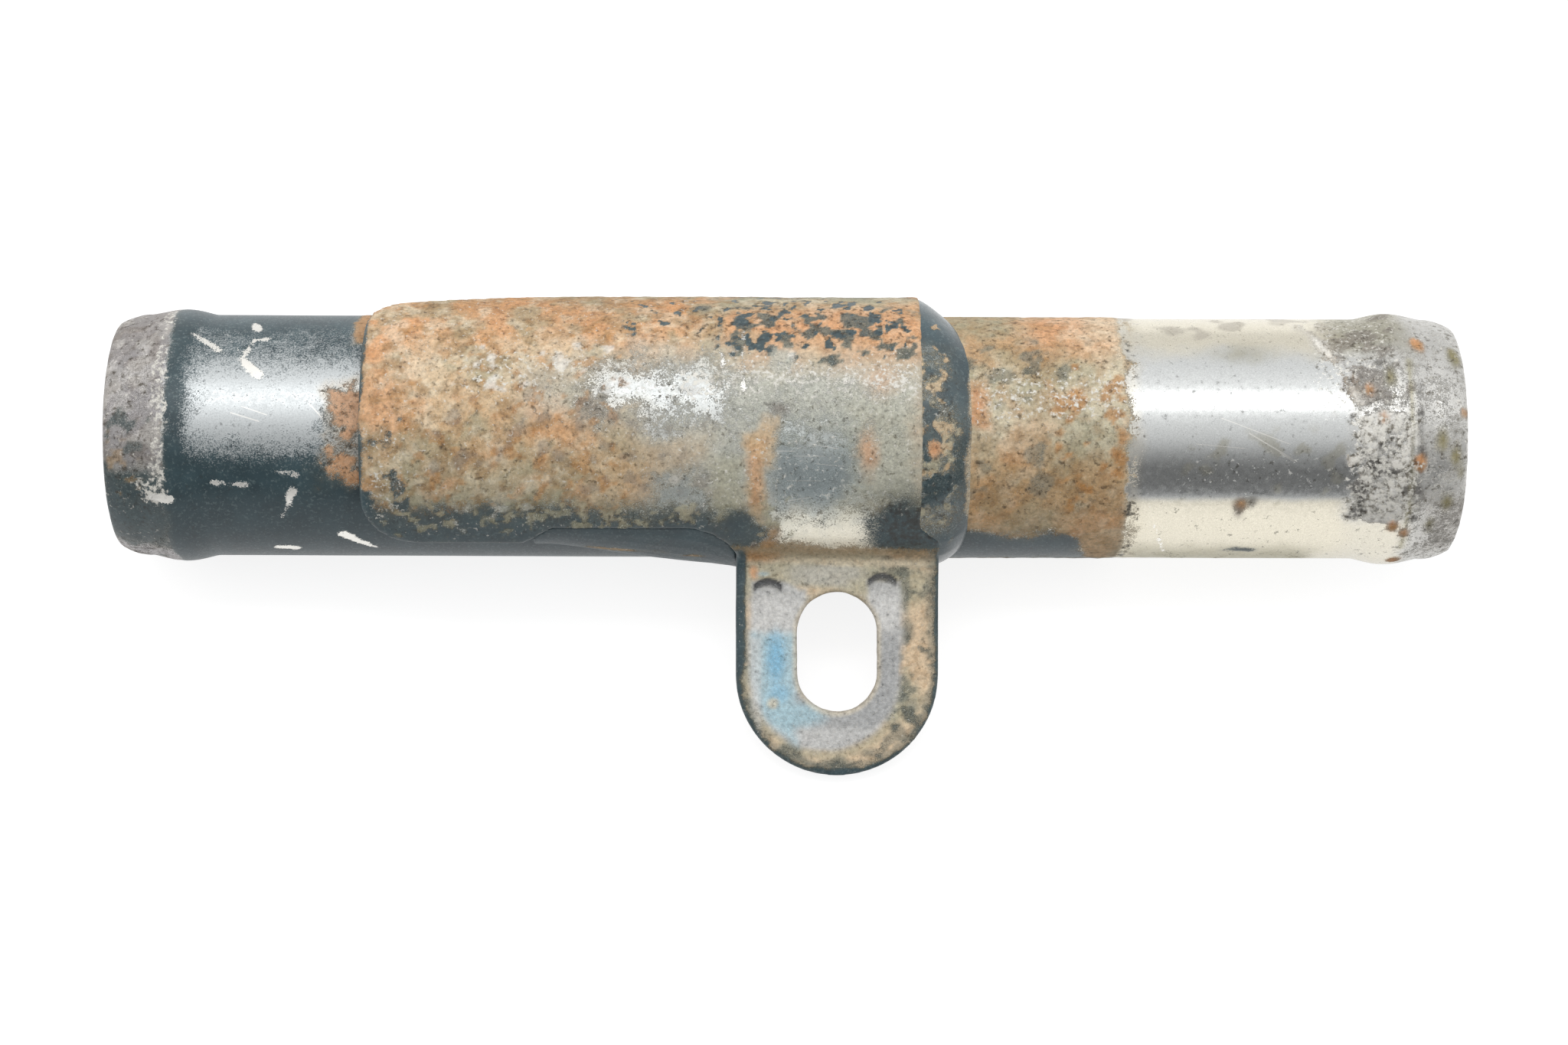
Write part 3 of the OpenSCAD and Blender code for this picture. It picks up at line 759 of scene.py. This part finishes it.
def weld_grid(angle, root_x, toe_x, root_r):
    """Loops across a weld round the tube: its top runs from root to toe, and its foot runs back.

    It gives each point's x, angle and radius, and how far across each of the top's points is.
    """
    top_points, foot_points = 34, 8
    toe_r = TUBE_R - 0.05
    across = np.linspace(0, 1, top_points)
    there_and_back = np.concatenate([across, np.linspace(1, 0, foot_points)])
    x = root_x[:, None] + (toe_x - root_x)[:, None] * there_and_back
    top = toe_r + (root_r - toe_r)[:, None] * (1 - across ** WELD_BULGE)
    foot = np.full((len(angle), foot_points), WELD_FOOT)
    return x, np.broadcast_to(angle[:, None], x.shape), np.concatenate([top, foot], axis=1), across


def build_end_weld(material):
    """The thick fillet at the saddle's right end, longest in front."""
    longest, longest_at, waviness = 5.2, -3, 0.25
    angle = np.linspace(-88, 94, 300)
    # The root follows the saddle's end, which runs out to the tab's side lower down
    height = SHEET_OUT * np.sin(np.radians(angle + 45))
    flare = np.clip((1 - height) / 2, 0, 1)
    root_x = SADDLE_RIGHT - 0.3 + (TAB_RIGHT - SADDLE_RIGHT) * flare
    # It sinks below the sheet's face near its lower end
    sunk = np.clip((angle + 58) / -30, 0, 1)
    root_r = SHEET_OUT - 0.10 - 1.5 * sunk
    shorter = np.abs((angle - longest_at) / 100) ** np.where(angle > longest_at, 3, 4)
    toe_x = SADDLE_RIGHT + longest * (1 - shorter)
    wave = lumps(round_points(toe_x, angle, TUBE_R), 5, 3) - 0.5
    toe_x = np.maximum(toe_x + waviness * wave, root_x + 0.05)
    x, turn, r, across = weld_grid(angle, root_x, toe_x, root_r)
    place = round_points(x, turn, r)
    coat = Coat(place.reshape(-1, 3))
    weather_weld(coat)
    coat.break_up()
    lift = (0.7 * coat.height() + 0.16 * (cloud(coat.place, 3.5, 37, 3) - 0.5)).reshape(x.shape)
    # Relief fades out at the root and at the toe, and the foot has none
    bow = np.zeros(x.shape[1])
    bow[:len(across)] = np.sin(np.pi * across) ** 0.7
    grid = round_points(x, turn, r + lift * bow)
    piece = new_piece("end_fillet", grid_mesh("end_fillet", grid, closed=False), material, "end_weld")
    show_coat(piece, coat)


def build_lower_weld(material):
    """The dark fillet under the saddle's lower edge."""
    mesh = dense_copy("lower_weld", 0.16)
    coat = Coat(from_frame(read_points(mesh)))
    coat.band("dark", -30, 0, soft=1, ragged=2, cover=0.35)
    coat.spot("tan", -17, -61, 5, 0.8, 0.8, ragged=0.6)
    coat.spot("tan", -9.6, -64, 1.8, 0.6, 0.8, ragged=0.3)
    coat.break_up()
    mesh.materials.clear()
    piece = new_piece("lower_fillet", mesh, material, "lower_weld")
    show_coat(piece, coat)


# ---- Materials ----

def node(tree, kind, inputs=None, **settings):
    """Adds a node, with its settings, and its inputs given by name or number as values or links."""
    made = tree.nodes.new(kind)
    for key, value in settings.items():
        setattr(made, key, value)
    for key, value in (inputs or {}).items():
        if isinstance(value, bpy.types.NodeSocket):
            tree.links.new(value, made.inputs[key])
        else:
            made.inputs[key].default_value = value
    return made


def math_node(tree, operation, a, b=0.0, c=0.0, clamp=False):
    """The result of one step of arithmetic."""
    made = node(tree, "ShaderNodeMath", {0: a, 1: b, 2: c}, operation=operation, use_clamp=clamp)
    return made.outputs[0]


def times(tree, a, b):
    """The product of two values."""
    return math_node(tree, "MULTIPLY", a, b)


def blend_colour(tree, share, a, b, mode="MIX"):
    """Colour a with a share of colour b over it."""
    made = node(tree, "ShaderNodeMix", {0: share, 6: a, 7: b}, data_type="RGBA", blend_type=mode)
    return made.outputs[2]


def map_value(tree, value, low, high, to_low=0.0, to_high=1.0):
    """A value moved from one range to another, and kept inside it."""
    made = node(tree, "ShaderNodeMapRange", {0: value, 1: low, 2: high, 3: to_low, 4: to_high})
    return made.outputs[0]


def grain(tree, place, size, detail, shift=0.0):
    """Noise with lumps of a size in millimetres, spread over about 0 to 1."""
    offset = (shift, shift * 0.7, shift * 1.3)
    moved = node(tree, "ShaderNodeVectorMath", {0: place, 1: offset}, operation="ADD")
    noise = node(
        tree, "ShaderNodeTexNoise",
        {"Vector": moved.outputs[0], "Scale": 1 / (size * MM), "Detail": detail, "Roughness": 0.6},
    )
    return map_value(tree, noise.outputs["Fac"], 0.30, 0.70)


def share_mask(tree, share, grained, slope):
    """Where a layer is: nowhere at a share of 0, everywhere at 1, and between where the grain is low."""
    spread = times(tree, share, slope + 1)
    return math_node(tree, "MULTIPLY_ADD", grained, -slope, spread, clamp=True)


def rgba(text):
    """A solid colour, for a node, from six hex digits."""
    return (*colour(text), 1.0)


def stroke_group():
    """A group that is 1 on a line between two places on the unrolled tube, and 0 away from it."""
    group = bpy.data.node_groups.new("stroke", "ShaderNodeTree")
    inputs = {"Place": "Vector", "Start": "Vector", "End": "Vector", "Half Width": "Float"}
    for name, kind in inputs.items():
        group.interface.new_socket(name, in_out="INPUT", socket_type="NodeSocket" + kind)
    group.interface.new_socket("Mask", in_out="OUTPUT", socket_type="NodeSocketFloat")
    given = group.nodes.new("NodeGroupInput").outputs

    def vector(operation, a, b):
        """The outputs of one step of vector arithmetic."""
        second = 3 if operation == "SCALE" else 1
        return node(group, "ShaderNodeVectorMath", {0: a, second: b}, operation=operation).outputs

    line = vector("SUBTRACT", given["End"], given["Start"])[0]
    away = vector("SUBTRACT", given["Place"], given["Start"])[0]
    share = math_node(group, "DIVIDE", vector("DOT_PRODUCT", away, line)["Value"],
                      vector("DOT_PRODUCT", line, line)["Value"], clamp=True)
    nearest = vector("SCALE", line, share)[0]
    far = vector("DISTANCE", away, nearest)["Value"]
    inner = times(group, given["Half Width"], 0.6)
    mask = map_value(group, far, given["Half Width"], inner)
    group.links.new(mask, group.nodes.new("NodeGroupOutput").inputs["Mask"])
    return group


def stroke_mask(tree, place, strokes):
    """1 on any of the strokes, each given as x, angle, x, angle and its width in millimetres."""
    group = bpy.data.node_groups.get("stroke") or stroke_group()

    def along(direction):
        """How far a point is along a direction, in metres."""
        inputs = {0: place, 1: direction.tolist()}
        return node(tree, "ShaderNodeVectorMath", inputs, operation="DOT_PRODUCT").outputs["Value"]

    arc = times(tree, math_node(tree, "ARCTAN2", along(UP), along(FRONT)), TUBE_R)
    x = times(tree, along(ALONG), 1 / MM)
    flat = node(tree, "ShaderNodeCombineXYZ", {0: x, 1: arc}).outputs[0]
    total = 0.0
    for x0, angle0, x1, angle1, width in strokes:
        made = tree.nodes.new("ShaderNodeGroup")
        made.node_tree = group
        tree.links.new(flat, made.inputs["Place"])
        made.inputs["Start"].default_value = (x0, math.radians(angle0) * TUBE_R, 0)
        made.inputs["End"].default_value = (x1, math.radians(angle1) * TUBE_R, 0)
        made.inputs["Half Width"].default_value = width / 2
        total = math_node(tree, "MAXIMUM", made.outputs[0], total)
    return total


def coat_material(name, paint_rough, crust_bump, coat_weight=0.0, scratches=()):
    """Reads a piece's coat: plate, then paint, then crust, each broken up by finer and finer grain.

    It is given the paint's roughness and the height of the crust's relief in millimetres.
    """
    material = bpy.data.materials.new(name)
    material.use_nodes = True
    tree = material.node_tree
    tree.nodes.clear()
    place = node(tree, "ShaderNodeTexCoord").outputs["Object"]
    stored = ("plate", "crust", "layers", "specks")
    attributes = [node(tree, "ShaderNodeAttribute", attribute_name=layer) for layer in stored]
    plate, crust, layers, specked = attributes
    shares = node(tree, "ShaderNodeSeparateColor", {0: layers.outputs["Color"]}).outputs
    paint_share, stain_share, chip_share = shares[0], shares[1], shares[2]
    speck_shares = node(tree, "ShaderNodeSeparateColor", {0: specked.outputs["Color"]}).outputs

    fine = grain(tree, place, 0.15, 3)
    middle = grain(tree, place, 0.6, 4, 0.013)
    broad = grain(tree, place, 3.0, 4, 0.029)
    specks = grain(tree, place, 0.34, 2, 0.041)

    # Where each layer is: its share against the grain
    crust_grain = math_node(tree, "MULTIPLY_ADD", fine, 0.55, times(tree, middle, 0.45))
    crust_mask = share_mask(tree, crust.outputs["Alpha"], crust_grain, 3.2)
    paint_grain = math_node(tree, "MULTIPLY_ADD", fine, 0.7, times(tree, middle, 0.3))
    paint_mask = share_mask(tree, paint_share, paint_grain, 2.0)
    stain_edge = math_node(tree, "SUBTRACT", stain_share, middle)
    stain_mask = math_node(tree, "MULTIPLY_ADD", stain_edge, 2.2, 0.45, clamp=True)
    chip_edge = math_node(tree, "MULTIPLY_ADD", paint_grain, 0.28, chip_share)
    chip_mask = map_value(tree, chip_edge, 0.60, 0.66)
    if scratches:
        fine_marks = times(tree, stroke_mask(tree, place, scratches), 0.6)
        chip_mask = math_node(tree, "MAXIMUM", chip_mask, fine_marks)
    pale_mask = share_mask(tree, speck_shares[0], grain(tree, place, 0.45, 4, 0.053), 3.0)
    dark_mask = share_mask(tree, speck_shares[1], grain(tree, place, 0.60, 4, 0.067), 3.0)
    keep = math_node(tree, "SUBTRACT", 1.0, chip_mask)
    crust_mask = times(tree, crust_mask, keep)
    paint_mask = times(tree, paint_mask, keep)

    # Colours
    plate_tone = map_value(tree, fine, 0, 1, 0.86, 1.08)
    plate_colour = blend_colour(tree, 1.0, plate.outputs["Color"], plate_tone, "MULTIPLY")
    paint_colour = blend_colour(tree, broad, rgba("283b42"), rgba("3c5259"))
    worn_dots = map_value(tree, specks, 0.62, 0.95, 0, 0.5)
    paint_colour = blend_colour(tree, worn_dots, paint_colour, rgba("6d7d7f"))
    dusted = times(tree, crust.outputs["Alpha"], 0.7)
    paint_colour = blend_colour(tree, dusted, paint_colour, rgba("7c7b6a"))
    tone_grain = math_node(tree, "MULTIPLY_ADD", middle, 0.5, times(tree, specks, 0.5))
    crust_tone = map_value(tree, tone_grain, 0.15, 0.85, 0.72, 1.20)
    crust_colour = blend_colour(tree, 1.0, crust.outputs["Color"], crust_tone, "MULTIPLY")
    pale_dots = map_value(tree, fine, 0.70, 0.95, 0, 0.3)
    crust_colour = blend_colour(tree, pale_dots, crust_colour, rgba("efe6d6"))
    tint = node(tree, "ShaderNodeSeparateColor", {0: crust.outputs["Color"]}).outputs
    warmth = math_node(tree, "SUBTRACT", tint[0], tint[2])
    warmth = math_node(tree, "MULTIPLY", warmth, 2.4, clamp=True)
    freckles = times(tree, map_value(tree, grain(tree, place, 1.1, 4, 0.087), 0.56, 0.70, 0, 0.28), warmth)
    crust_colour = blend_colour(tree, freckles, crust_colour, rgba("bf9f70"), "MULTIPLY")
    base = blend_colour(tree, paint_mask, plate_colour, paint_colour)
    base = blend_colour(tree, crust_mask, base, crust_colour)
    base = blend_colour(tree, dark_mask, base, rgba("a09c94"), "MULTIPLY")
    base = blend_colour(tree, pale_mask, base, rgba("e9e6dd"))
    base = blend_colour(tree, chip_mask, base, rgba("eeece6"))
    base = blend_colour(tree, times(tree, stain_mask, 0.85), base, rgba("2b2a26"))

    # Metal shows only where nothing covers it
    open_plate = math_node(tree, "SUBTRACT", 1.0, paint_mask)
    for mask in (crust_mask, pale_mask):
        open_plate = times(tree, open_plate, math_node(tree, "SUBTRACT", 1.0, mask))
    sheen = math_node(tree, "MULTIPLY_ADD", crust_mask, 0.06, open_plate)
    metal = times(tree, sheen, math_node(tree, "MULTIPLY_ADD", stain_mask, -0.7, 1.0))
    plate_rough = math_node(tree, "ADD", plate.outputs["Alpha"], map_value(tree, middle, 0, 1, -0.06, 0.10))
    paint_gloss = math_node(tree, "ADD", paint_rough, map_value(tree, fine, 0, 1, -0.06, 0.14))
    rough = node(tree, "ShaderNodeMix", {0: paint_mask, 2: plate_rough, 3: paint_gloss}).outputs[0]
    rough = node(tree, "ShaderNodeMix", {0: crust_mask, 2: rough, 3: 0.64}).outputs[0]

    # Relief: crust stands on paint, paint on plate
    relief = math_node(tree, "MULTIPLY_ADD", crust_mask, 1.0, times(tree, paint_mask, 0.45))
    grit = times(tree, times(tree, fine, crust_mask), 0.4)
    relief = math_node(tree, "ADD", relief, grit)
    relief = math_node(tree, "ADD", relief, times(tree, pale_mask, 0.3))
    bump = node(tree, "ShaderNodeBump", {"Height": relief, "Distance": crust_bump * MM, "Strength": 1.0})
    shader = node(
        tree, "ShaderNodeBsdfPrincipled",
        {"Base Color": base, "Metallic": metal, "Roughness": rough, "Normal": bump.outputs[0],
         "Coat Weight": coat_weight, "Coat Roughness": 0.15},
    )
    node(tree, "ShaderNodeOutputMaterial", {"Surface": shader.outputs[0]})
    return material


def floor_material():
    """Pale floor that the camera and the metal see as white, and that still takes a shadow."""
    material = bpy.data.materials.new("pale_floor")
    material.use_nodes = True
    tree = material.node_tree
    tree.nodes.clear()
    rays = node(tree, "ShaderNodeLightPath")
    seen = math_node(tree, "ADD", rays.outputs["Is Camera Ray"], rays.outputs["Is Glossy Ray"])
    seen = math_node(tree, "ADD", seen, rays.outputs["Is Transmission Ray"], clamp=True)
    strength = times(tree, seen, 0.84)
    glow = node(tree, "ShaderNodeEmission", {"Color": (1, 1, 1, 1), "Strength": strength})
    lit = node(tree, "ShaderNodeBsdfDiffuse", {"Color": rgba("9c9c9c")})
    both = node(tree, "ShaderNodeAddShader", {0: glow.outputs[0], 1: lit.outputs[0]})
    node(tree, "ShaderNodeOutputMaterial", {"Surface": both.outputs[0]})
    return material


# ---- Stage, camera and light ----

def build_floor():
    """A wide floor at the part's lowest point."""
    size = 3.0
    mesh = bpy.data.meshes.new("floor")
    corners = [(x * size, y * size, cad_low.z) for x, y in ((-1, -1), (1, -1), (1, 1), (-1, 1))]
    mesh.from_pydata(corners, [], [(0, 1, 2, 3)])
    floor = add_object("floor", mesh)
    mesh.materials.append(floor_material())


def build_camera():
    """Looks straight at the tab's face, square to the tube. Sizes are in millimetres and degrees."""
    lens, distance, roll = 75.6, 349, 0.2
    aim_x, aim_v = -0.1, -9.05
    data = bpy.data.cameras.new("camera")
    data.lens = lens
    data.sensor_width = 36
    data.clip_start = 0.01
    camera = add_object("camera", data)
    turn = math.radians(roll)
    right = math.cos(turn) * ALONG + math.sin(turn) * UP
    above = math.cos(turn) * UP - math.sin(turn) * ALONG
    axes = Matrix([Vector(right), Vector(above), Vector(FRONT)]).transposed().to_4x4()
    camera.matrix_world = Matrix.Translation(to_frame(np.array([[aim_x, distance, aim_v]]))[0]) @ axes
    bpy.context.scene.camera = camera


def build_light():
    """A long soft box above and a little behind, in a room that is dark low down in front."""
    past_vertical, distance = math.radians(4.5), 0.55
    away = Vector((0, math.sin(past_vertical), math.cos(past_vertical)))
    data = bpy.data.lights.new("soft_box", "AREA")
    data.shape = "RECTANGLE"
    data.size, data.size_y = 0.56, 0.11
    data.energy = 0.50
    lamp = add_object("soft_box", data)
    lamp.location = away * distance
    lamp.rotation_euler = away.to_track_quat("Z", "Y").to_euler()

    world = bpy.data.worlds.new("studio")
    world.use_nodes = True
    bpy.context.scene.world = world
    tree = world.node_tree
    tree.nodes.clear()
    way = node(tree, "ShaderNodeTexCoord").outputs["Generated"]
    parts = node(tree, "ShaderNodeSeparateXYZ", {0: way})
    # 0 is straight up, negative towards the front and positive towards the back
    tilt = math_node(tree, "ARCTAN2", parts.outputs["Y"], parts.outputs["Z"])
    share = map_value(tree, tilt, -math.pi, math.pi)
    walls = node(tree, "ShaderNodeValToRGB", {0: share})
    stops = (
        (-180, 0.80), (-95, 0.26), (-60, 0.22), (-48, 0.42), (-32, 0.92), (-14, 1.15),
        (0, 1.42), (14, 1.42), (34, 1.22), (60, 1.05), (95, 0.88), (180, 0.80),
    )
    elements = walls.color_ramp.elements
    while len(elements) < len(stops):
        elements.new(0.5)
    for element, (degrees, level) in zip(elements, stops):
        element.position = (degrees + 180) / 360
        element.color = (level, level, level, 1)
    sky = node(tree, "ShaderNodeBackground", {"Color": walls.outputs[0], "Strength": 0.9})
    node(tree, "ShaderNodeOutputWorld", {"Surface": sky.outputs[0]})


# Fine scratches: from x and angle, to x and angle, and how wide
TUBE_SCRATCHES = (
    (-56.7, 9, -53.8, 5, 0.16), (-55.6, 12, -53.0, 8, 0.13), (-48.6, 13, -47.4, 7, 0.16),
    (47.4, 1, 52.3, -12, 0.16), (44.6, 8, 51.6, -4, 0.11), (50.6, -8, 52.0, -12, 0.22),
    (42.0, -4, 47.0, -6, 0.09),
)
SADDLE_SCRATCHES = (
    (-0.8, -7, 1.0, -7, 0.08), (2.4, -4, 5.4, -6, 0.07), (1.0, -9, 4.0, -9, 0.06),
    (0.2, -19, 3.6, -19, 0.07), (-0.2, -28, 2.6, -26, 0.07), (3.0, -12, 6.0, -13, 0.06),
)
build_tube(coat_material("weathered_tube", 0.36, 0.06, scratches=TUBE_SCRATCHES))
build_bracket(coat_material("weathered_bracket", 0.36, 0.06, scratches=SADDLE_SCRATCHES))
build_end_weld(coat_material("painted_fillet", 0.26, 0.08, coat_weight=0.3))
build_lower_weld(coat_material("painted_seam", 0.42, 0.08))
build_floor()
build_camera()
build_light()
bpy.context.scene.view_settings.view_transform = "Standard"
